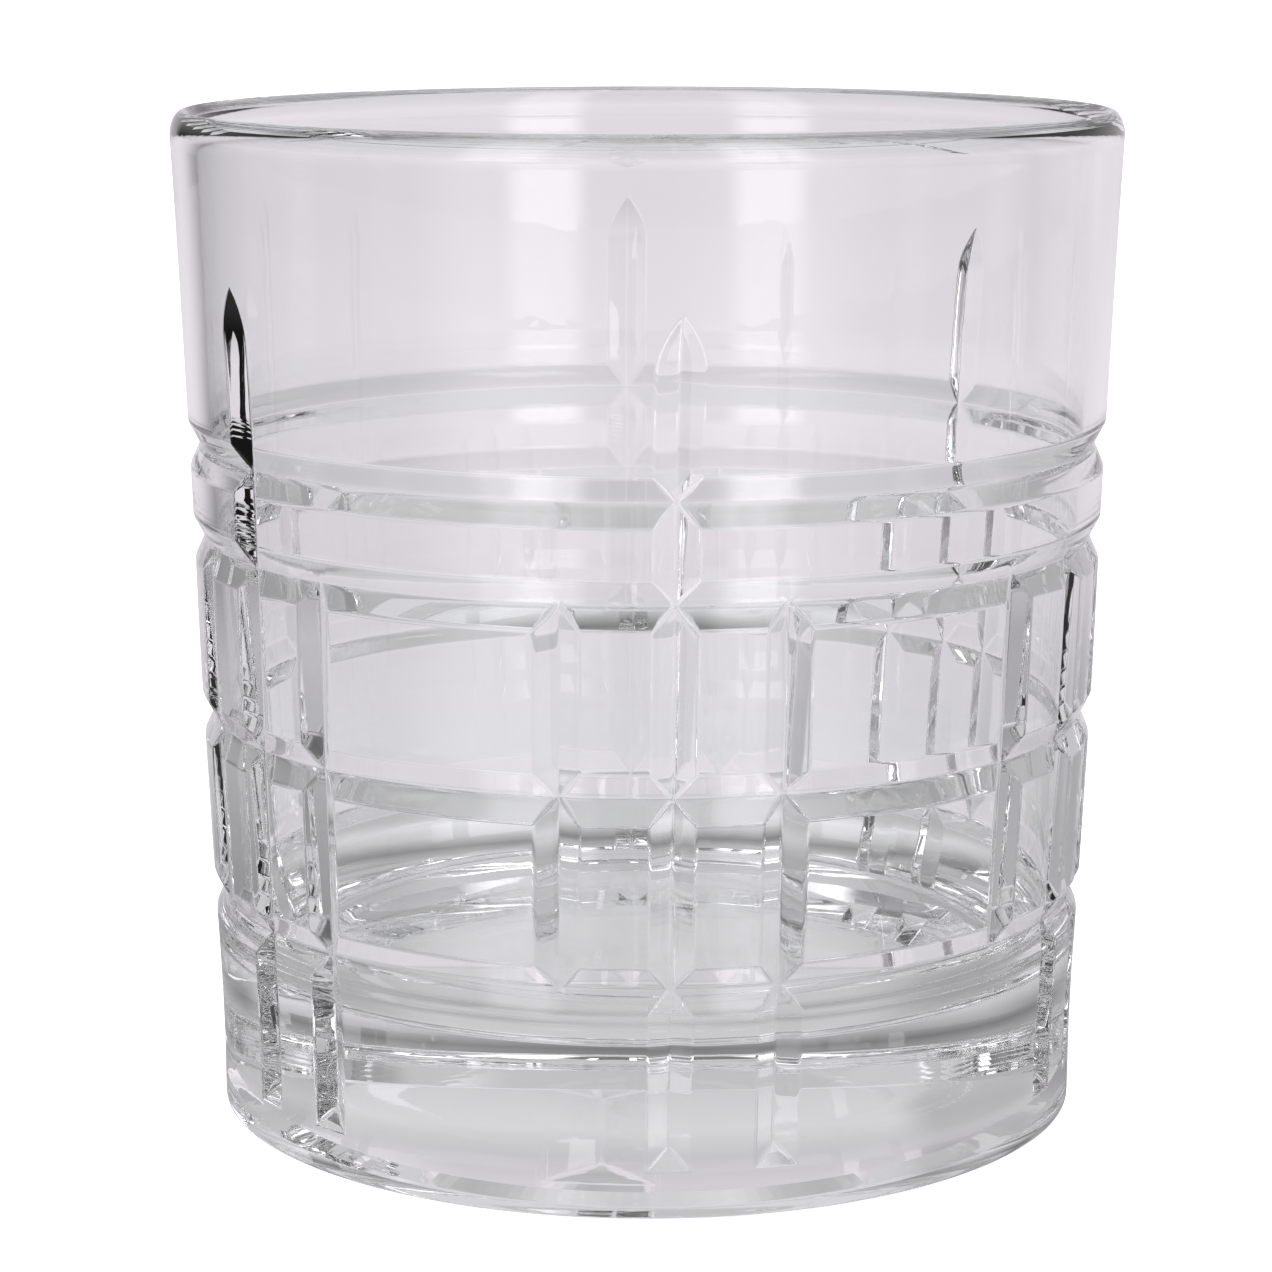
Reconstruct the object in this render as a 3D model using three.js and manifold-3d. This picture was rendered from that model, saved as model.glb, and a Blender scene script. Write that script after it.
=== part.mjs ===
// Whiskey tumbler of clear cut glass: one thick-based, slightly tapered glass
// with a plaid of V grooves ground into its outside.
//
// Millimetres, +Z up. The origin is the centre of the foot, on the surface that
// the glass stands on. Azimuths are counted from -Y (the front) towards +X.

import * as THREE from 'three';
import { mergeVertices } from 'three/addons/utils/BufferGeometryUtils.js';
import Module from 'manifold-3d';

// ---------------------------------------------------------------- dimensions
const HEIGHT = 96.25;          // foot to the top of the rim
const RIM_WALL = 2.5;          // wall thickness just under the rim
const SEGMENTS = 60;           // facets around the body, a multiple of six

// outside of the wall before cutting: [height above the foot, radius]
const WALL_OUTSIDE = [
  [13.0, 41.29], [28.2, 42.0], [44.2, 42.66], [60.2, 43.12], [76.2, 43.72],
  [88.0, 44.2],
];
const RIM_RADIUS = 44.5;       // greatest outside radius, a little under the rim
const RIM_RADIUS_HEIGHT = 93.9;

// rounded heel: [height, radius]
const HEEL = [
  [1.15, 39.1], [1.24, 39.7], [1.46, 40.45], [1.78, 41.1], [7.0, 41.15],
];

// underside: a flat ring to stand on, round a shallow dish. From the ring the
// glass rises outwards to the heel
const FOOT_RING = [27.6, 29.4];      // its two radii
const FOOT_HOLLOW_RADIUS = 25.6;
const FOOT_HOLLOW = [1.65, 0.67];    // depth of the dish in the middle and at its edge

// inside of the cup: [height, radius]
const CUP_FLOOR = 14.6;        // thickness of the solid base
const CUP_FLOOR_RISE = 1.3;    // the floor is a shallow dish, lowest in the middle
const CUP_CORNER = 7.0;        // radius between the floor and the wall
const CUP_WALL_FOOT = 39.1;    // radius of the bore where the corner ends
const CUP_WALL = [[56.0, 40.85]];
const CUP_MOUTH_HEIGHT = 93.0;
const CUP_MOUTH = RIM_RADIUS - RIM_WALL;

// the four rings of the plaid: height of the bottom of the V
const RINGS = [65.4, 56.55, 39.6, 22.4];
const RING_WIDTH = 4.3;
const RING_DEPTH = 1.05;

// the upright grooves, six groups of three: azimuths of the left, the middle and
// the right one at LEAN_HEIGHT, how far the group leans, degrees for each mm,
// height of the middle one's tip (null: it ends in the second ring, as its
// neighbours do), and how far that tip wanders off, degrees
const GROUPS = [
  [-10.5, 3.1, 16.5, 0.012, 81.3, 0.4],
  [50.0, 64.3, 77.8, 0.024, null, 0.0],
  [119.8, 129.6, 140.8, -0.025, 83.5, -1.4],
  [168.9, 182.7, 195.9, 0.012, 85.6, -0.5],
  [243.0, 256.3, 269.6, 0.0, 77.2, 0.0],
  [289.1, 303.4, 316.6, 0.021, 81.7, -1.1],
];
const LEAN_HEIGHT = 40.0;
const UPRIGHT_WIDTH = 4.0;
const UPRIGHT_DEPTH = 1.12;
const TIP_LENGTH = 5.0;        // the wheel runs out of the glass over this
const WANDER_FROM = 66.0;      // where a middle groove begins to wander
const LOW_END = 6.0;           // where the grooves that run into the base end
const END_LENGTH = 2.0;        // length of the slanting facet that closes them

const CLEAR = 0.8;             // how far a cutter stands out of the wall

// ------------------------------------------------------------------- helpers
const wasm = await Module();
wasm.setup();

function toSolid(geometry) {
  let g = geometry.clone();
  g.deleteAttribute('normal');
  g.deleteAttribute('uv');
  g = mergeVertices(g, 1e-4);
  const index = g.index.array;
  const clean = [];
  for (let i = 0; i < index.length; i += 3) {
    const [a, b, c] = [index[i], index[i + 1], index[i + 2]];
    if (a !== b && b !== c && c !== a) clean.push(a, b, c);
  }
  // turn the faces outward if the profile ran the other way
  const p = g.attributes.position;
  const v = [new THREE.Vector3(), new THREE.Vector3(), new THREE.Vector3()];
  let volume = 0;
  for (let i = 0; i < clean.length; i += 3) {
    v.forEach((q, k) => q.fromBufferAttribute(p, clean[i + k]));
    volume += v[0].dot(v[1].clone().cross(v[2]));
  }
  if (volume < 0) {
    for (let i = 0; i < clean.length; i += 3) {
      [clean[i + 1], clean[i + 2]] = [clean[i + 2], clean[i + 1]];
    }
  }
  return new wasm.Manifold(new wasm.Mesh({
    numProp: 3,
    vertProperties: new Float32Array(p.array),
    triVerts: new Uint32Array(clean),
  }));
}

function toGeometry(solid) {
  const mesh = solid.getMesh();
  const g = new THREE.BufferGeometry();
  g.setAttribute('position', new THREE.BufferAttribute(new Float32Array(mesh.vertProperties), 3));
  g.setIndex(new THREE.BufferAttribute(new Uint32Array(mesh.triVerts), 1));
  return g;
}

// a lathe turned about +Z from [height, radius] points
function turned(points) {
  const g = new THREE.LatheGeometry(
    points.map(([z, r]) => new THREE.Vector2(r, z)), SEGMENTS);
  g.rotateX(Math.PI / 2);      // the lathe's own axis is +Y
  return g;
}

// radius of the uncut outside at a height, straight between the points
const OUTSIDE = [...HEEL, ...WALL_OUTSIDE, [RIM_RADIUS_HEIGHT, RIM_RADIUS]];
function outside(z) {
  for (let i = 1; i < OUTSIDE.length; i++) {
    const [z0, r0] = OUTSIDE[i - 1];
    const [z1, r1] = OUTSIDE[i];
    if (z <= z1) return r0 + (r1 - r0) * Math.max(0, (z - z0) / (z1 - z0));
  }
  return RIM_RADIUS;
}

// ---------------------------------------------------------------- glass blank
function blankProfile() {
  const [deep, shallow] = FOOT_HOLLOW;
  const points = [0, 0.4, 0.75, 1].map((f) => [deep - (deep - shallow) * f * f, FOOT_HOLLOW_RADIUS * f]);
  points.push([0, FOOT_RING[0]], [0, FOOT_RING[1]]);
  points.push(...HEEL, ...WALL_OUTSIDE, [RIM_RADIUS_HEIGHT, RIM_RADIUS]);
  // fire-polished rim: an ellipse over the wall
  const rimMid = (RIM_RADIUS + CUP_MOUTH) / 2;
  const rimHalf = (RIM_RADIUS - CUP_MOUTH) / 2;
  for (let i = 1; i <= 5; i++) {
    const a = (i / 6) * Math.PI;
    const base = a <= Math.PI / 2 ? RIM_RADIUS_HEIGHT : CUP_MOUTH_HEIGHT;
    points.push([base + (HEIGHT - base) * Math.sin(a), rimMid + rimHalf * Math.cos(a)]);
  }
  points.push([CUP_MOUTH_HEIGHT, CUP_MOUTH]);
  points.push(...[...CUP_WALL].reverse());
  // rounded corner of the cup, then its dished floor
  const corner = CUP_CORNER;
  const centre = CUP_WALL_FOOT - corner;
  const low = CUP_FLOOR + CUP_FLOOR_RISE;
  for (let i = 0; i <= 4; i++) {
    const a = (i / 4) * Math.PI / 2;
    points.push([low + corner * (1 - Math.sin(a)), centre + corner * Math.cos(a)]);
  }
  points.push([CUP_FLOOR + CUP_FLOOR_RISE * 0.25, centre * 0.5], [CUP_FLOOR, 0]);
  return points;
}

// --------------------------------------------------------------- the cutters
// a ring cutter: a V, apex inwards, turned round the axis
function ringCutter(z) {
  const apex = outside(z) - RING_DEPTH;
  const reach = RING_DEPTH + CLEAR;
  const half = (RING_WIDTH / 2) * (reach / RING_DEPTH);
  const out = outside(z) + CLEAR;
  return turned([[z, apex], [z - half, out], [z + half, out], [z, apex]]);
}

// end faces of an upright groove: the height of the face at a depth in the wall
const endFacet = (depth) => LOW_END + (depth * END_LENGTH) / UPRIGHT_DEPTH;
// a groove that ends in a ring ends just under that ring's own flank
const underFlank = (ring, sign) => (depth) =>
  ring + (sign * (RING_DEPTH - depth) * (RING_WIDTH / 2)) / (RING_DEPTH * 1.08);

// share of the full depth of a middle groove, following the wheel's rim as it
// leaves the glass at the top tip
function arch(z, top) {
  const t = Math.max(0, 1 - (top - z) / TIP_LENGTH);
  return 1 - t * t;
}

// an upright cutter: a V section drawn out in steps and bent on to the wall.
// low and high are an end face, or high is null for a middle groove, which runs
// out at its tip
function uprightCutter(azimuth, lean, low, high, tip = 0, wander = 0) {
  const stations = [{ at: low, share: 1 }];
  const lowest = Math.max(low(0), low(UPRIGHT_DEPTH)) + 1;
  const highest = high
    ? Math.min(high(0), high(UPRIGHT_DEPTH)) - 1
    : tip - TIP_LENGTH - 1;
  for (const [z] of WALL_OUTSIDE) {
    if (z > lowest && z < highest) stations.push({ at: () => z, share: 1 });
  }
  if (high) {
    stations.push({ at: high, share: 1 });
  } else {
    for (const s of [-1, -0.65, -0.3, 0, 0.5]) {
      const z = tip + s * TIP_LENGTH;
      stations.push({ at: () => z, share: arch(z, tip) });
    }
  }

  const section = new THREE.Shape([
    new THREE.Vector2(0, 0), new THREE.Vector2(1, 1), new THREE.Vector2(-1, 1),
  ]);
  const steps = stations.length - 1;
  const g = new THREE.ExtrudeGeometry(section, { steps, depth: steps, bevelEnabled: false });
  const p = g.attributes.position;
  const reach = UPRIGHT_DEPTH + CLEAR;
  for (let i = 0; i < p.count; i++) {
    const { at, share } = stations[Math.round(p.getZ(i))];
    const depth = UPRIGHT_DEPTH * share - reach * p.getY(i);
    const z = at(depth);
    const radius = outside(z) - depth;
    const side = p.getX(i) * reach * (UPRIGHT_WIDTH / 2 / UPRIGHT_DEPTH);
    const over = high ? 0 : Math.max(0, (z - WANDER_FROM) / (tip - WANDER_FROM));
    // azimuth 0 looks out along -Y, and turns towards +X
    const a = THREE.MathUtils.degToRad(
      azimuth + lean * (z - LEAN_HEIGHT) + wander * over * over);
    p.setXYZ(i,
      radius * Math.sin(a) + side * Math.cos(a),
      -radius * Math.cos(a) + side * Math.sin(a),
      z);
  }
  return g;
}

// ------------------------------------------------------------------ the glass
let glass = toSolid(turned(blankProfile()));
for (const z of RINGS) glass = glass.subtract(toSolid(ringCutter(z)));
const [, SECOND_RING, , LOWEST_RING] = RINGS;
for (const [left, middle, right, lean, tip, wander] of GROUPS) {
  const cutters = [
    // the middle groove: from above the top ring, or from the second one, down
    // into the base
    tip
      ? uprightCutter(middle, lean, endFacet, null, tip, wander)
      : uprightCutter(middle, lean, endFacet, underFlank(SECOND_RING, 1)),
    // the left one: between the second ring and the lowest
    uprightCutter(left, lean, underFlank(LOWEST_RING, -1), underFlank(SECOND_RING, 1)),
    // the right one: from the second ring down into the base
    uprightCutter(right, lean, endFacet, underFlank(SECOND_RING, 1)),
  ];
  for (const c of cutters) glass = glass.subtract(toSolid(c));
}

const clearGlass = new THREE.MeshStandardMaterial({
  name: 'clear_glass', color: 0xe4e8e8, roughness: 0.03, metalness: 0.0,
});

const body = new THREE.Mesh(toGeometry(glass), clearGlass);
body.name = 'glass_body';

const group = new THREE.Group();
group.name = 'whiskey_tumbler';
group.add(body);

export default group;
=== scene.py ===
"""Whiskey tumbler of clear cut glass, on a plain pale floor. Metres, +Z up, foot centre at the origin."""

import math

import bpy
import numpy as np
from mathutils import Matrix, Vector


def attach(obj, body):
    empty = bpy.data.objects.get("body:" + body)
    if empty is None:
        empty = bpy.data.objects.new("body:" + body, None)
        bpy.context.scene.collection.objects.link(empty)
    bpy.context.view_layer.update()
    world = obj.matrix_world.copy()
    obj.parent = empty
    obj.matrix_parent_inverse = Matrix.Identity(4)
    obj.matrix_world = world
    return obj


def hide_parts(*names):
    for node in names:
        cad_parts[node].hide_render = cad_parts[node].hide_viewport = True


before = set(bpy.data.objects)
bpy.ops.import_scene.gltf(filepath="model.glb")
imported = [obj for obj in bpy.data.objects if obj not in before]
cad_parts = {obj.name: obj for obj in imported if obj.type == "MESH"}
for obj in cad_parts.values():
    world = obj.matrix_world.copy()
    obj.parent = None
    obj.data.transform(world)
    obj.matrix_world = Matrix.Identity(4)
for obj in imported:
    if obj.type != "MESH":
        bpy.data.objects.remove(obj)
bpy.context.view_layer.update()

MM = 0.001

# ---------------------------------------------------------------- the glass, in millimetres
HEIGHT = 96.25
RIM_WALL = 2.5
RIM_RADIUS = 44.5
RIM_RADIUS_HEIGHT = 93.9

HEEL = [  # height, radius
    (1.15, 39.1), (1.18, 39.38), (1.24, 39.7), (1.34, 40.06), (1.46, 40.45),
    (1.59, 40.77), (1.68, 40.97), (1.78, 41.1), (2.2, 41.12), (7.0, 41.15),
]
WALL_OUTSIDE = [
    (13.0, 41.31), (20.0, 41.64), (28.2, 42.02), (44.2, 42.68), (60.2, 43.14),
    (76.2, 43.74), (88.0, 44.22), (93.9, 44.5),
]
FOOT_RING = (27.6, 29.4)    # radii of the flat ring that it stands on
FOOT_HOLLOW_RADIUS = 25.6
FOOT_HOLLOW = (1.65, 0.67)  # depth of the dish inside it, in the middle and at its edge

CUP_FLOOR = 14.6
CUP_FLOOR_RISE = 1.3
CUP_CORNER = 7.0
CUP_WALL_FOOT = 39.1
CUP_MOUTH_HEIGHT = 93.0
CUP_MOUTH = RIM_RADIUS - RIM_WALL

# the plaid of V grooves: four rings round the wall
RINGS = [65.4, 56.55, 39.6, 22.4]
RING_WIDTH, RING_DEPTH = 4.3, 1.05

# and six groups of three upright ones. Azimuth of the left, middle and right
# groove, where LEAN_HEIGHT is, how far they lean, in degrees for each mm, how
# high the middle one's tip is (None: it ends in the second ring, as its
# neighbours do), and how far that tip wanders off, in degrees
GROUPS = [
    (-10.5, 3.1, 16.5, 0.012, 81.3, 0.4),
    (50.0, 64.3, 77.8, 0.024, None, 0.0),
    (119.8, 129.6, 140.8, -0.025, 83.5, -1.4),
    (168.9, 182.7, 195.9, 0.012, 85.6, -0.5),
    (243.0, 256.3, 269.6, 0.0, 77.2, 0.0),
    (289.1, 303.4, 316.6, 0.021, 81.7, -1.1),
]
LEAN_HEIGHT = 40.0
UPRIGHT_WIDTH, UPRIGHT_DEPTH = 4.0, 1.12
TIP_LENGTH = 5.0    # the gothic arch at the top of a middle groove
MIDDLE_TOP = 81.3   # its tip, before the group's own height is taken up
WANDER_FROM = 66.0  # where the middle groove begins to wander
LOW_END = 6.0       # where a groove that runs on into the base ends
END_LENGTH = 2.0    # length of the slanting facet that closes it
ROUND = 42.6        # radius at which the widths are measured

EDGE_ROUND = 0.10   # softening of the ground edges
APEX_ROUND = 0.07   # and of the bottom of each V

SIDE, MIDDLE = 0, 1


def pchip(xs, ys):
    """A smooth curve through the points that never overshoots them."""
    xs, ys = np.asarray(xs, float), np.asarray(ys, float)
    h, d = np.diff(xs), np.diff(ys) / np.diff(xs)
    m = np.zeros_like(ys)
    m[0], m[-1] = d[0], d[-1]
    for i in range(1, len(xs) - 1):
        if d[i - 1] * d[i] > 0:
            w1, w2 = 2 * h[i] + h[i - 1], h[i] + 2 * h[i - 1]
            m[i] = (w1 + w2) / (w1 / d[i - 1] + w2 / d[i])

    def f(x):
        x = np.clip(np.asarray(x, float), xs[0], xs[-1])
        i = np.clip(np.searchsorted(xs, x, side="right") - 1, 0, len(xs) - 2)
        t = (x - xs[i]) / h[i]
        return (
            ys[i] * (1 + 2 * t) * (1 - t) ** 2
            + m[i] * h[i] * t * (1 - t) ** 2
            + ys[i + 1] * t * t * (3 - 2 * t)
            + m[i + 1] * h[i] * t * t * (t - 1)
        )

    return f


outside = pchip([z for z, _ in HEEL + WALL_OUTSIDE], [r for _, r in HEEL + WALL_OUTSIDE])


def soft_max(a, b, k):
    h = np.maximum(k - np.abs(a - b), 0) / k
    return np.maximum(a, b) + h * h * k / 4


def soft_min(a, b, k):
    return -soft_max(-a, -b, k)


def groove_list():
    """Azimuth, lean, kind, and the heights of both ends of every upright groove."""
    out = []
    for left, middle, right, lean, top, _ in GROUPS:
        out.append((left, lean, SIDE, RINGS[1], RINGS[3]))
        if top:
            out.append((middle, lean, MIDDLE, MIDDLE_TOP, LOW_END))
        else:
            out.append((middle, lean, SIDE, RINGS[1], LOW_END))
        out.append((right, lean, SIDE, RINGS[1], LOW_END))
    return out


GROOVES = groove_list()
UPRIGHT_SLOPE = UPRIGHT_DEPTH / (UPRIGHT_WIDTH / 2)
RING_SLOPE = RING_DEPTH / (RING_WIDTH / 2)


def arch(z):
    """Share of the full depth near the top tip of a middle groove."""
    t = np.clip(1 - (MIDDLE_TOP - z) / TIP_LENGTH, 0, None)
    return 1 - t * t


def cut_depth(u, z):
    """How deep the cutting goes, in millimetres, at azimuths before the lean and heights."""
    u, z = np.broadcast_arrays(np.asarray(u, float), np.asarray(z, float))
    total = np.zeros(u.shape)
    for zr in RINGS:
        s = np.abs(z - zr)
        s = np.sqrt(s * s + APEX_ROUND**2) - APEX_ROUND * 0.4
        total = soft_max(total, RING_DEPTH - s * RING_SLOPE, EDGE_ROUND)
    for a, _, kind, top, low in GROOVES:
        off = (u - a + 180) % 360 - 180
        s = np.abs(np.radians(off)) * ROUND
        s = np.sqrt(s * s + APEX_ROUND**2) - APEX_ROUND * 0.4
        cut = UPRIGHT_DEPTH - s * UPRIGHT_SLOPE
        if kind == MIDDLE:
            cut = np.where(z > top - TIP_LENGTH, UPRIGHT_DEPTH * arch(z) - s * UPRIGHT_SLOPE, cut)
        else:  # it ends inside a ring, a little under that ring's own flank
            cut = soft_min(cut, RING_DEPTH - (z - top) * RING_SLOPE * 1.08, EDGE_ROUND * 0.5)
        if low == LOW_END:
            cut = soft_min(cut, (z - low) * UPRIGHT_DEPTH / END_LENGTH, EDGE_ROUND * 0.5)
        else:
            cut = soft_min(cut, RING_DEPTH - (low - z) * RING_SLOPE * 1.08, EDGE_ROUND * 0.5)
        total = soft_max(total, cut, EDGE_ROUND)
    return total


# distances either side of an upright groove's line where the mesh has lines
STATIONS = [0, 0.07, 0.22, 0.55, 1.0, 1.45, 1.76, 1.9, 2.0, 2.1, 2.24, 2.55]


def mitre(s):
    """Height over a ring's line where its flank meets the flank of an upright groove."""
    return (RING_DEPTH - UPRIGHT_DEPTH + s * UPRIGHT_SLOPE) / RING_SLOPE


def fill(values, lo, hi, step):
    """Adds evenly spaced values between neighbours further apart than step."""
    v = sorted(x for x in values if lo <= x <= hi)
    v = [lo] * (v[0] > lo) + v + [hi] * (v[-1] < hi)
    out = []
    for a, b in zip(v, v[1:]):
        n = max(1, math.ceil((b - a) / step - 1e-6))
        out += [a + (b - a) * i / n for i in range(n)]
    return np.array(out + [v[-1]])


def wall_rows(lo, hi):
    rows = []
    for zr in RINGS:
        over = [0, 0.09] + [mitre(s) for s in STATIONS if mitre(s) > 0.2]
        rows += [zr + o for o in over] + [zr - o for o in over[1:]]
    rows += [LOW_END + END_LENGTH * (1 - s / (UPRIGHT_WIDTH / 2)) for s in STATIONS if s <= 2.3]
    rows += [LOW_END - 0.5]
    rows += list(MIDDLE_TOP - TIP_LENGTH + np.array([-0.4, 0, 0.4, 1.0, 1.6, 2.1, 2.6, 3.1, 3.5, 3.9, 4.2, 4.45, 4.65, 4.8, 4.9, 5.0, 5.12, 5.35]))
    return fill(rows, lo, hi, 2.0)


def wall_columns():
    cols = []
    for a, *_ in GROOVES:
        cols += [(a + sign * math.degrees(s / ROUND)) % 360 for s in STATIONS for sign in (-1, 1)]
    cols = sorted(cols)
    keep = [cols[0]]
    for c in cols[1:]:
        if c - keep[-1] > 0.02:
            keep.append(c)
    return fill(keep + [keep[0] + 360], keep[0], keep[0] + 360, 2.8)[:-1]


def pulled_in(cols, z):
    """Mesh lines of a middle groove close up with its edges towards its top tip."""
    if z <= MIDDLE_TOP - TIP_LENGTH:
        return cols.copy()
    g = max(float(arch(z)), 0.12) if z <= MIDDLE_TOP else min(0.12 + 0.2 * (z - MIDDLE_TOP), 1.0)
    half, beyond = UPRIGHT_WIDTH / 2, 3.4
    out = cols.copy()
    for a, _, kind, *_ in GROOVES:
        if kind != MIDDLE:
            continue
        off = (cols - a + 180) % 360 - 180
        s = np.radians(off) * ROUND
        near = np.abs(s)
        moved = np.where(
            near <= half, near * g,
            near - half * (1 - g) * np.clip(1 - (near - half) / beyond, 0, 1),
        )
        out += np.degrees(np.where(near < half + beyond, np.sign(s) * (moved - near), 0) / ROUND)
    return out


def around(pairs, flat):
    """A value that is the same for flat degrees either side of each azimuth, and runs
    evenly from one to the next."""
    xs = [a + sign * flat for a, _ in pairs for sign in (-1, 1)]
    ys = [value for _, value in pairs for _ in (-1, 1)]
    order = np.argsort(xs)
    xs, ys = np.array(xs)[order], np.array(ys)[order]
    return lambda u: np.interp(u, xs, ys, period=360)


lean_at = around([(a, lean) for a, lean, *_ in GROOVES], 4)
tips = [(middle, top - MIDDLE_TOP, wander) for _, middle, _, _, top, wander in GROUPS if top]
rise_at = around([(middle, rise) for middle, rise, _ in tips], 7)
wander_at = around([(middle, wander) for middle, _, wander in tips], 7)


def lifted(u, z):
    """True height of a mesh row, which is drawn up or down with each group's tip."""
    return z + rise_at(u) * np.interp(z, [68.8, MIDDLE_TOP - TIP_LENGTH, 82.2, 90.0], [0, 1, 1, 0])


def turned_by(u, z):
    """True azimuth, with the lean and with the tip's wandering."""
    over = np.clip((z - WANDER_FROM) / (MIDDLE_TOP - WANDER_FROM), 0, None)
    fade = np.interp(z, [84.0, 90.0], [1, 0])
    return u + lean_at(u) * (z - LEAN_HEIGHT) + wander_at(u) * over**2 * fade


def place(u, z):
    """Points of the cut wall."""
    true_z = lifted(u, z)
    r = outside(true_z) - cut_depth(u, z)
    t = np.radians(turned_by(u, z))
    return np.stack([r * np.sin(t), -r * np.cos(t), true_z], -1)


def glass_mesh():
    verts, normals, faces = [], [], []

    def count():
        return sum(len(v) for v in verts)

    def put(azimuth, r, z, n):
        """One ring of vertices; gives their numbers."""
        a = np.radians(azimuth)
        first = count()
        verts.append(np.stack([r * np.sin(a), -r * np.cos(a), np.full_like(a, z)], 1))
        normals.append(n)
        return np.arange(first, first + len(a))

    def radial(azimuth, nr, nz):
        a = np.radians(azimuth)
        length = math.hypot(nr, nz)
        nr, nz = nr / length, nz / length
        return np.stack([nr * np.sin(a), -nr * np.cos(a), np.full_like(a, nz)], 1)

    def quads(one, two):
        j = np.roll(np.arange(len(one)), -1)
        faces.extend(np.stack([one, two, two[j], one[j]], 1).tolist())

    def stitch(one, az_one, two, az_two):
        """Triangles between two rings with different azimuths, both rising."""
        start = int(np.searchsorted(az_two, az_one[0] - 1e-9)) % len(two)
        order = [two[(start + i) % len(two)] for i in range(len(two))]
        a2 = [az_two[(start + i) % len(two)] for i in range(len(two))]
        a2 = [a + 360 if a < az_one[0] - 1e-9 else a for a in a2]
        a1 = list(az_one) + [az_one[0] + 360]
        a2 = a2 + [a2[0] + 360]
        one = list(one) + [one[0]]
        order = order + [order[0]]
        i = j = 0
        made = []
        while i < len(one) - 1 or j < len(order) - 1:
            if j == len(order) - 1 or (i < len(one) - 1 and a1[i + 1] <= a2[j + 1]):
                made.append([one[i], order[j], one[i + 1]])
                i += 1
            else:
                made.append([one[i], order[j], order[j + 1]])
                j += 1
        return made

    even = np.arange(168) * 360 / 168
    # underside and heel, from the middle of the foot outward and up
    under = []
    deep, shallow = FOOT_HOLLOW
    for f in (0.12, 0.25, 0.38, 0.5, 0.62, 0.73, 0.83, 0.92, 1.0):
        slope = 2 * (deep - shallow) * f / FOOT_HOLLOW_RADIUS
        under.append((FOOT_HOLLOW_RADIUS * f, deep - (deep - shallow) * f * f, slope, -1))
    step = FOOT_RING[0] - FOOT_HOLLOW_RADIUS
    under += [(FOOT_HOLLOW_RADIUS + step * f, shallow * (1 - f), shallow / step, -1) for f in (0.08, 0.5, 0.92)]
    under += [(FOOT_RING[0] + 0.1, 0.0, 0, -1), (FOOT_RING[1] - 0.1, 0.0, 0, -1)]
    # from the ring the underside rises outwards to the heel
    low, edge = HEEL[0]
    slope = low / (edge - FOOT_RING[1])
    for r in (29.6, 31.0, 33.0, 35.0, 37.5, 38.9):
        under.append((r, (r - FOOT_RING[1]) * slope, -slope, -1))
    low_z, high_z = 5.1, 90.0
    heel_z = [1.15, 1.158, 1.168, 1.18, 1.21, 1.25, 1.3, 1.36, 1.43, 1.5, 1.57, 1.64, 1.7, 1.75, 1.8, 1.9, 2.1, 2.5, 3.2, 4.2]
    verts.append(np.array([[0.0, 0.0, FOOT_HOLLOW[0]]]))
    normals.append(np.array([[0.0, 0.0, -1.0]]))
    previous = None
    for r, z, nr, nz in under:
        ring = put(even, r, z, radial(even, nr, nz))
        if previous is None:
            for i in range(len(ring)):
                faces.append([0, int(ring[(i + 1) % len(ring)]), int(ring[i])])
        else:
            quads(ring, previous)
        previous = ring
    for z in heel_z:
        e = 1e-3
        z0, z1 = max(z - e, heel_z[0]), z + e
        slope = min(float((outside(z1) - outside(z0)) / (z1 - z0)), 12.0)
        ring = put(even, float(outside(z)), z, radial(even, 1, -slope))
        quads(ring, previous)
        previous = ring
    # the cut wall
    cols, rows = wall_columns(), wall_rows(low_z, high_z)
    az = np.stack([pulled_in(cols, z) for z in rows])
    zz = np.repeat(rows[:, None], len(cols), 1)
    p = place(az, zz)
    du = place(az + 0.01, zz) - place(az - 0.01, zz)
    dv = place(az, zz + 0.01) - place(az, zz - 0.01)
    n = np.cross(du, dv)
    n /= np.linalg.norm(n, axis=-1, keepdims=True)
    first = count()
    verts.append(p.reshape(-1, 3))
    normals.append(n.reshape(-1, 3))
    grid = first + np.arange(az.size).reshape(az.shape)
    # each cell is split along the line that lies closer to the true surface
    nxt = np.concatenate([az[:, 1:], az[:, :1] + 360], 1)
    right = np.roll(grid, -1, 1)
    r_here = outside(lifted(az, zz)) - cut_depth(az, zz)
    r_next = np.roll(r_here, -1, 1)
    mid_u = (az[:-1] + nxt[:-1] + az[1:] + nxt[1:]) / 4
    mid_z = (zz[:-1] + zz[1:]) / 2
    true = outside(lifted(mid_u, mid_z)) - cut_depth(mid_u, mid_z)
    rising = np.abs((r_here[:-1] + r_next[1:]) / 2 - true)   # lower left to upper right
    falling = np.abs((r_here[1:] + r_next[:-1]) / 2 - true)
    low_l, low_r, up_l, up_r = grid[:-1], right[:-1], grid[1:], right[1:]
    pick = rising < falling
    faces.extend(np.stack([up_l, low_l, up_r], -1)[pick].tolist())
    faces.extend(np.stack([low_l, low_r, up_r], -1)[pick].tolist())
    faces.extend(np.stack([up_l, low_l, low_r], -1)[~pick].tolist())
    faces.extend(np.stack([up_l, low_r, up_r], -1)[~pick].tolist())

    def joined(k, ring):
        """Stitches row k to an even ring, whichever azimuth either starts at."""
        a = turned_by(az[k], rows[k])
        shift = 360 * math.floor(a[0] / 360)
        return stitch(grid[k], a - shift, ring, even)

    faces.extend(joined(0, previous))
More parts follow.
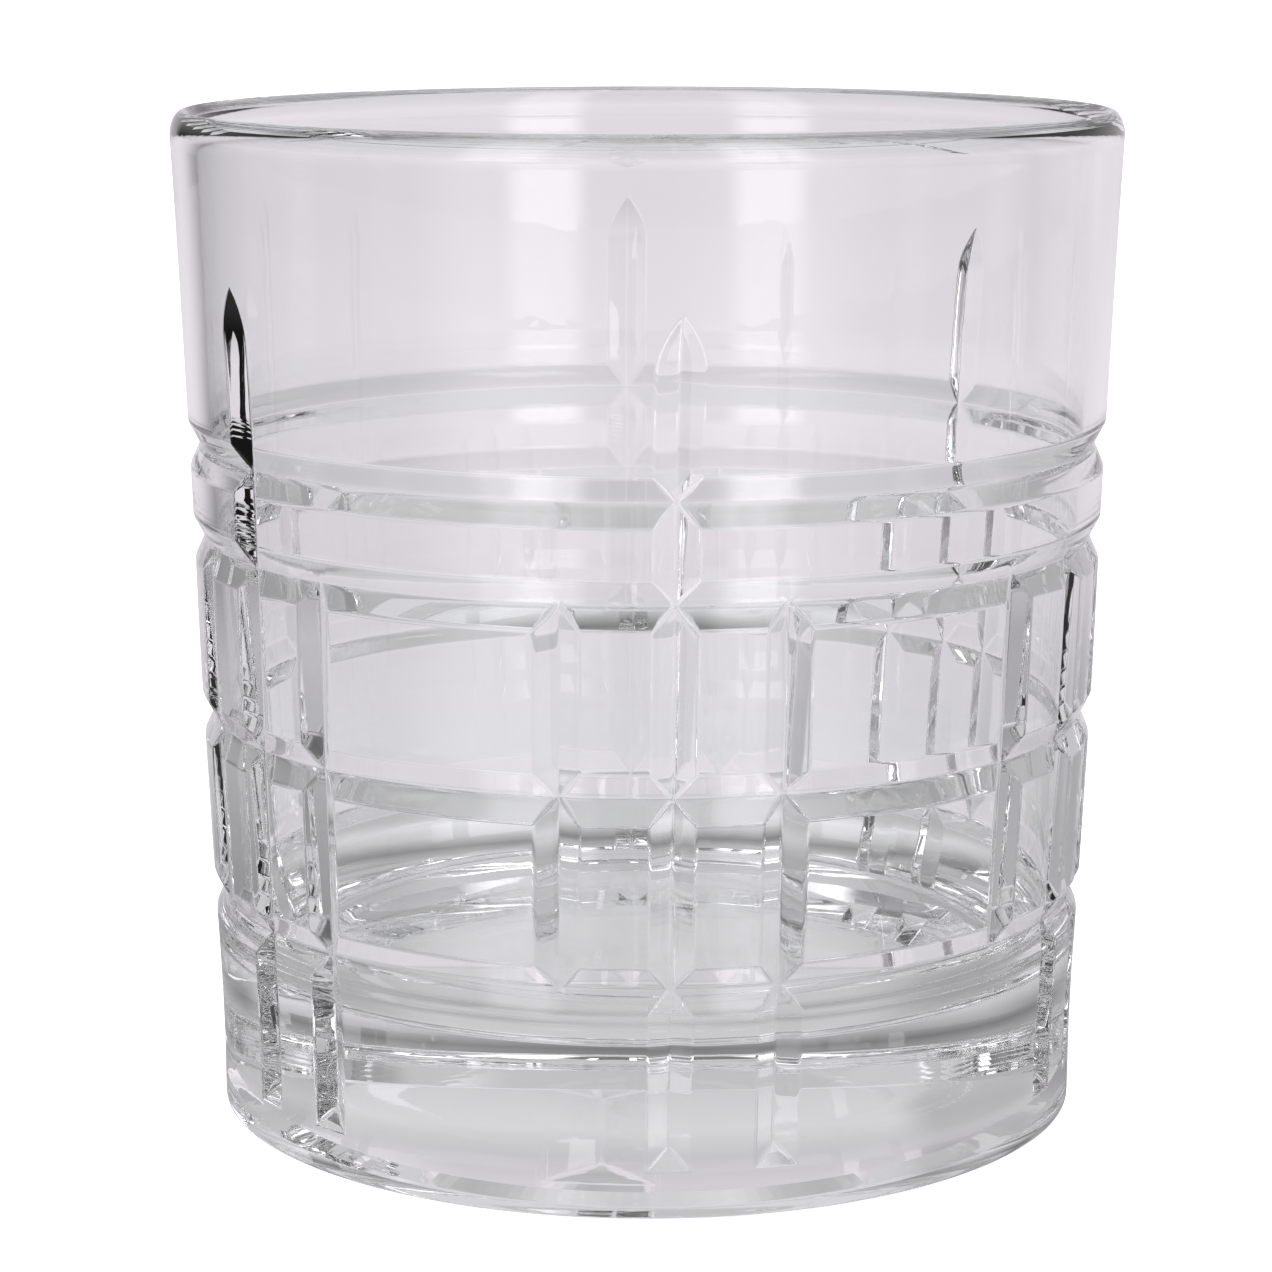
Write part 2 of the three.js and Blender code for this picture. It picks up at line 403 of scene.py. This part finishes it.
    # the plain wall above, the rim, the cup, down to the middle of its floor
    profile = []
    for z in (91.0, 92.0, 93.0, RIM_RADIUS_HEIGHT):
        s = float((outside(z + 1e-3) - outside(z - 1e-3)) / 2e-3) if z < RIM_RADIUS_HEIGHT else 0.0
        profile.append((float(outside(z)), z, 1, -s))
    mid, half = (RIM_RADIUS + CUP_MOUTH) / 2, (RIM_RADIUS - CUP_MOUTH) / 2
    for i in range(1, 24):
        a = i / 24 * math.pi
        base = RIM_RADIUS_HEIGHT if a <= math.pi / 2 else CUP_MOUTH_HEIGHT
        rise = HEIGHT - base
        profile.append((mid + half * math.cos(a), base + rise * math.sin(a),
                        math.cos(a) / half, math.sin(a) / rise))
    low = CUP_FLOOR + CUP_FLOOR_RISE
    bore = pchip([low + CUP_CORNER, 56.0, CUP_MOUTH_HEIGHT], [CUP_WALL_FOOT, 40.85, CUP_MOUTH])
    for z in np.linspace(CUP_MOUTH_HEIGHT, low + CUP_CORNER, 22):
        z = float(z)
        za, zb = max(z - 0.01, low + CUP_CORNER), min(z + 0.01, CUP_MOUTH_HEIGHT)
        s = float((bore(zb) - bore(za)) / (zb - za))
        profile.append((float(bore(z)), z, -1, s))
    middle = CUP_WALL_FOOT - CUP_CORNER
    for i in range(1, 17):
        a = i / 16 * math.pi / 2
        profile.append((middle + CUP_CORNER * math.cos(a), low + CUP_CORNER * (1 - math.sin(a)),
                        -math.cos(a), math.sin(a)))
    for f in (0.94, 0.86, 0.74, 0.6, 0.45, 0.3, 0.15):
        profile.append((middle * f, CUP_FLOOR + CUP_FLOOR_RISE * f * f,
                        -2 * CUP_FLOOR_RISE * f / middle, 1))
    rings = [put(even, r, z, radial(even, nr, nz)) for r, z, nr, nz in profile]
    faces.extend([f[::-1] for f in joined(len(rows) - 1, rings[0])])
    for one, two in zip(rings, rings[1:]):
        quads(two, one)
    last = count()
    verts.append(np.array([[0.0, 0.0, CUP_FLOOR]]))
    normals.append(np.array([[0.0, 0.0, 1.0]]))
    ring = rings[-1]
    for i in range(len(ring)):
        faces.append([last, int(ring[i]), int(ring[(i + 1) % len(ring)])])

    v = np.concatenate(verts) * MM
    n = np.concatenate(normals)
    mesh = bpy.data.meshes.new("tumbler_glass")
    mesh.from_pydata(v.tolist(), [], [tuple(int(i) for i in f) for f in faces])
    mesh.validate()
    mesh.polygons.foreach_set("use_smooth", [True] * len(mesh.polygons))
    mesh.normals_split_custom_set_from_vertices(n.tolist())
    mesh.update()
    return mesh


# ---------------------------------------------------------------- materials
class Nodes:
    """Short names for the nodes of one tree."""

    def __init__(self, tree):
        self.tree = tree

    def node(self, kind, **values):
        n = self.tree.nodes.new(kind)
        for key, value in values.items():
            setattr(n, key, value)
        return n

    def feed(self, socket, value):
        if isinstance(value, bpy.types.NodeSocket):
            self.tree.links.new(value, socket)
        else:
            socket.default_value = value

    def maths(self, operation, a, b=0.0, c=0.0):
        n = self.node("ShaderNodeMath", operation=operation)
        for socket, value in zip(n.inputs, (a, b, c)):
            self.feed(socket, value)
        return n.outputs[0]

    def noise(self, at, scale, detail):
        n = self.node("ShaderNodeTexNoise")
        self.feed(n.inputs["Vector"], at)
        n.inputs["Scale"].default_value = scale
        n.inputs["Detail"].default_value = detail
        return n.outputs[0]

    def colours(self, share, one, two):
        n = self.node("ShaderNodeMix", data_type="RGBA")
        self.feed(n.inputs[0], share)
        self.feed(n.inputs[6], (*one, 1))
        self.feed(n.inputs[7], (*two, 1))
        return n.outputs[2]

    def between(self, value, lo, hi, to_lo=0.0, to_hi=1.0, smooth=False):
        n = self.node("ShaderNodeMapRange", interpolation_type="SMOOTHSTEP" if smooth else "LINEAR")
        for i, v in enumerate((value, lo, hi, to_lo, to_hi)):
            self.feed(n.inputs[i], v)
        return n.outputs[0]

    def level_ramp(self, value, stops):
        """Level of light along a line of stops, held as shares of the highest, as a ramp ends at 1."""
        n = self.node("ShaderNodeValToRGB")
        lo, hi = stops[0][0], stops[-1][0]
        self.feed(n.inputs[0], self.between(value, lo, hi))
        elements = n.color_ramp.elements
        elements[1].position = 1.0
        top = max(level for _, level in stops)
        for i, (at, level) in enumerate(stops):
            last = i == len(stops) - 1
            e = elements[0] if i == 0 else elements[len(elements) - 1] if last else elements.new((at - lo) / (hi - lo))
            e.color = (level / top, level / top, level / top, 1)
        return self.maths("MULTIPLY", n.outputs[0], top)

    def azimuth(self, x, y):
        """Degrees from -Y towards +X, -180 to 180."""
        return self.maths("MULTIPLY", self.maths("ARCTAN2", x, self.maths("MULTIPLY", y, -1.0)), 180 / math.pi)

    def window(self, azimuth, middle, half, soft):
        """1 inside an azimuth window, 0 outside it, with soft edges."""
        aside = self.maths("ABSOLUTE", self.maths("WRAP", self.maths("SUBTRACT", azimuth, middle), 180.0, -180.0))
        return self.between(aside, half + soft, half - soft, smooth=True)

    def plain_rays(self):
        """1 for rays from the camera and from diffuse surfaces, 0 for those that come through the glass."""
        path = self.node("ShaderNodeLightPath")
        return self.maths("MAXIMUM", path.outputs["Is Camera Ray"], path.outputs["Is Diffuse Ray"])

    def mix(self, share, one, two):
        n = self.node("ShaderNodeMixShader")
        self.feed(n.inputs[0], share)
        self.feed(n.inputs[1], one)
        self.feed(n.inputs[2], two)
        return n.outputs[0]


def clear_glass():
    m = bpy.data.materials.new("cut_glass")
    m.use_nodes = True
    t = Nodes(m.node_tree)
    b = m.node_tree.nodes["Principled BSDF"]
    b.inputs["Transmission Weight"].default_value = 1.0
    b.inputs["IOR"].default_value = 1.52
    at = t.node("ShaderNodeTexCoord").outputs["Object"]
    # slow waves in the metal, finer ones left by the polishing, and a trace of haze
    waves, polish, haze = t.noise(at, 110.0, 0.0), t.noise(at, 700.0, 0.0), t.noise(at, 60.0, 1.0)
    height = t.maths("MULTIPLY_ADD", polish, 0.12, waves)
    bump = t.node("ShaderNodeBump")
    bump.inputs["Strength"].default_value = 1.0
    bump.inputs["Distance"].default_value = 0.010 * MM
    t.feed(bump.inputs["Height"], height)
    t.feed(b.inputs["Normal"], bump.outputs[0])
    t.feed(b.inputs["Roughness"], t.between(haze, 0.45, 0.75, 0.0, 0.02, smooth=True))
    t.feed(b.inputs["Base Color"], t.colours(haze, (0.978, 0.984, 0.984), (0.99, 0.993, 0.993)))
    return m


# ---------------------------------------------------------------- the object
glass = bpy.data.objects.new("tumbler_glass", glass_mesh())
bpy.context.collection.objects.link(glass)
glass.data.materials.append(clear_glass())
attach(glass, "root")
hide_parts("glass_body")

# ---------------------------------------------------------------- studio light
# A white sweep behind the glass, duller sides, a tall soft box either side of the
# camera, the dark place where the camera stands, and a ceiling. Azimuths run from
# the camera's side (-Y) towards +X; the levels run up from the horizon.
PANELS = [  # middle azimuth, half width, [(elevation, level of light), ...]
    (175.00, 33.00, [(0, 0.79), (5, 0.73), (12, 0.60), (18, 0.73), (40, 0.57)]),  # sweep
    (89.75, 52.25, [(0, 0.83), (6, 0.69), (13, 0.49), (18, 0.59), (40, 0.33)]),  # right side
    (276.25, 40.25, [(0, 0.68), (6, 0.31), (13, 0.55), (18, 0.59), (40, 0.06)]),  # left side
    (222.00, 14.00, [(0, 0.06), (11, 0.52), (18, 0.48), (40, 0.64)]),  # dark flag
    (28.00, 9.50, [(0, 3.39), (12, 3.22), (25, 3.12), (46, 2.76)]),  # soft boxes
    (-34.00, 9.50, [(0, 3.08), (12, 2.86), (25, 2.53), (46, 2.10)]),
    (-3.00, 21.50, [(0, 0.60), (6, 0.54), (11, 0.05), (18, 0.05), (40, 0.05)]),  # the camera's place
]
PANEL_SOFT = 4.0                # softness of their edges, in degrees
CEILING = (58, 0.63)            # where it begins, and its level
TINT = (0.99, 0.945, 1.0)        # of the light near the horizon
COOL_TINT = (0.975, 0.968, 1.0)  # and of what comes from higher up, or from the floor close by

# painted shade and painted light on the floor as it shows through the glass: glow levels that are darker close by, a
# painted contact shadow, and brighter before the soft boxes, painted pools of light; distances from the axis in
# millimetres
PAINTED_FLOOR_LEVELS = [  # middle azimuth, half width, [(distance, level), ...]
    (180.0, 40.0, [  # behind
        (20, 0.64), (30, 0.63), (38, 0.57), (44, 0.47), (50, 0.19), (58, 0.61), (66, 0.78),
        (75, 0.55), (90, 0.48), (130, 0.75), (200, 0.73), (330, 0.76), (600, 0.83), (1500, 0.76),
        (7000, 0.79),
    ]),
    (95.0, 45.0, [  # right
        (20, 0.64), (45, 0.31), (64, 0.55), (90, 0.43), (190, 0.39), (330, 0.71), (700, 0.73),
        (2000, 0.89), (7000, 1.15),
    ]),
    (32.5, 17.5, [  # before the right soft box
        (20, 0.64), (37, 0.58), (46, 0.20), (64, 0.33), (90, 1.03), (190, 1.27), (330, 1.20), (700, 1.33),
        (2000, 1.25), (7000, 1.02),
    ]),
    (0.0, 15.0, [  # towards the camera
        (20, 0.64), (37, 0.62), (45, 0.45), (64, 0.25), (90, 0.38), (190, 0.70), (330, 0.71), (700, 0.78),
        (2000, 0.83), (7000, 0.83),
    ]),
    (-32.5, 17.5, [  # before the left soft box
        (20, 0.64), (37, 0.58), (46, 0.20), (64, 0.55), (90, 1.31), (190, 1.40), (330, 1.14), (700, 1.12),
        (2000, 1.15), (7000, 0.97),
    ]),
    (265.0, 45.0, [  # left
        (20, 0.64), (45, 0.39), (64, 0.51), (90, 0.24), (190, 0.51), (330, 0.19), (700, 0.15),
        (2000, 0.08), (7000, 0.05),
    ]),
]
PAINTED_FLOOR_SOFT = 12.0

scene = bpy.context.scene
world = bpy.data.worlds.new("studio")
scene.world = world
world.use_nodes = True

sky = Nodes(world.node_tree)
sky.tree.nodes.clear()
axes = sky.node("ShaderNodeSeparateXYZ")
sky.feed(axes.inputs[0], sky.node("ShaderNodeTexCoord").outputs["Generated"])
azimuth = sky.azimuth(axes.outputs[0], axes.outputs[1])
elevation = sky.maths("MULTIPLY", sky.maths("ARCSINE", axes.outputs[2]), 180 / math.pi)
light = 0.0
for middle, half, stops in PANELS:
    panel = sky.level_ramp(elevation, stops + [CEILING])
    panel = sky.maths("MULTIPLY", panel, sky.window(azimuth, middle, half, PANEL_SOFT))
    light = sky.maths("ADD", light, panel)

studio = sky.node("ShaderNodeBackground")
sky.feed(studio.inputs["Color"], sky.colours(sky.between(elevation, 8.0, 14.0, smooth=True), TINT, COOL_TINT))
sky.feed(studio.inputs["Strength"], light)
# what lights the floor, and is seen behind it, is the plain white of the sweep
plain = sky.node("ShaderNodeBackground")
plain.inputs["Color"].default_value = (1, 1, 1, 1)
plain.inputs["Strength"].default_value = 1.45
sky.feed(sky.node("ShaderNodeOutputWorld").inputs["Surface"],
         sky.mix(sky.plain_rays(), studio.outputs[0], plain.outputs[0]))

# ---------------------------------------------------------------- floor, with painted shade and light where it shows through the glass
bpy.ops.mesh.primitive_circle_add(vertices=96, radius=7.0, fill_type="NGON", location=(0, 0, -0.00005))
floor = bpy.context.object
floor.name = "floor"
fm = bpy.data.materials.new("pale_floor_painted_shade")
fm.use_nodes = True
fm.cycles.emission_sampling = "NONE"
ground = Nodes(fm.node_tree)
surface = fm.node_tree.nodes["Principled BSDF"]
place_on_floor = ground.node("ShaderNodeTexCoord").outputs["Object"]
grain = ground.noise(place_on_floor, 260.0, 4.0)
ground.feed(surface.inputs["Base Color"], ground.colours(grain, (0.895, 0.895, 0.9), (0.915, 0.912, 0.912)))
ground.feed(surface.inputs["Roughness"], ground.between(grain, 0.3, 0.7, 0.82, 0.95))
surface.inputs["Emission Color"].default_value = (1, 1, 1, 1)
surface.inputs["Emission Strength"].default_value = 0.5
axes = ground.node("ShaderNodeSeparateXYZ")
ground.feed(axes.inputs[0], place_on_floor)
distance = ground.node("ShaderNodeVectorMath", operation="LENGTH")
ground.feed(distance.inputs[0], place_on_floor)
distance = ground.maths("MAXIMUM", ground.maths("MULTIPLY", distance.outputs["Value"], 1 / MM), 20.0)
along = ground.maths("LOGARITHM", distance, math.e)
azimuth = ground.azimuth(axes.outputs[0], axes.outputs[1])
# painted shade and painted light: the glow levels of the floor zones, darker close to the foot and brighter before the
# soft boxes
level = 0.0
for middle, half, stops in PAINTED_FLOOR_LEVELS:
    painted_zone = ground.level_ramp(along, [(math.log(r), value) for r, value in stops])
    painted_zone = ground.maths("MULTIPLY", painted_zone, ground.window(azimuth, middle, half, PAINTED_FLOOR_SOFT))
    level = ground.maths("ADD", level, painted_zone)
# painted shade and painted light: rays through the glass see the floor glow at these levels, while camera and diffuse
# rays see the pale floor itself
painted_floor_glow = ground.node("ShaderNodeEmission")
ground.feed(painted_floor_glow.inputs["Color"],
            ground.colours(ground.between(distance, 90.0, 260.0, smooth=True), COOL_TINT, TINT))
ground.feed(painted_floor_glow.inputs["Strength"], level)
ground.feed(fm.node_tree.nodes["Material Output"].inputs["Surface"],
            ground.mix(ground.plain_rays(), painted_floor_glow.outputs[0], surface.outputs[0]))
floor.data.materials.append(fm)

# ---------------------------------------------------------------- camera
cam_data = bpy.data.cameras.new("camera")
cam = bpy.data.objects.new("camera", cam_data)
bpy.context.collection.objects.link(cam)
CAM_DISTANCE, CAM_HEIGHT, CAM_PITCH, FOCAL_PX = 353.3, 96.25 + 18.11, math.degrees(0.1917), 3738.3
cam_data.sensor_width = 36.0
cam_data.lens = FOCAL_PX / 1272 * 36.0
cam.location = (0, -CAM_DISTANCE * MM, CAM_HEIGHT * MM)
cam.rotation_euler = (math.radians(90 - CAM_PITCH), 0, math.atan(11 / FOCAL_PX))
scene.camera = cam

scene.view_settings.view_transform = "Standard"
scene.view_settings.look = "None"
scene.cycles.max_bounces = 24
scene.cycles.transmission_bounces = 24
scene.cycles.glossy_bounces = 16
scene.cycles.blur_glossy = 0.0
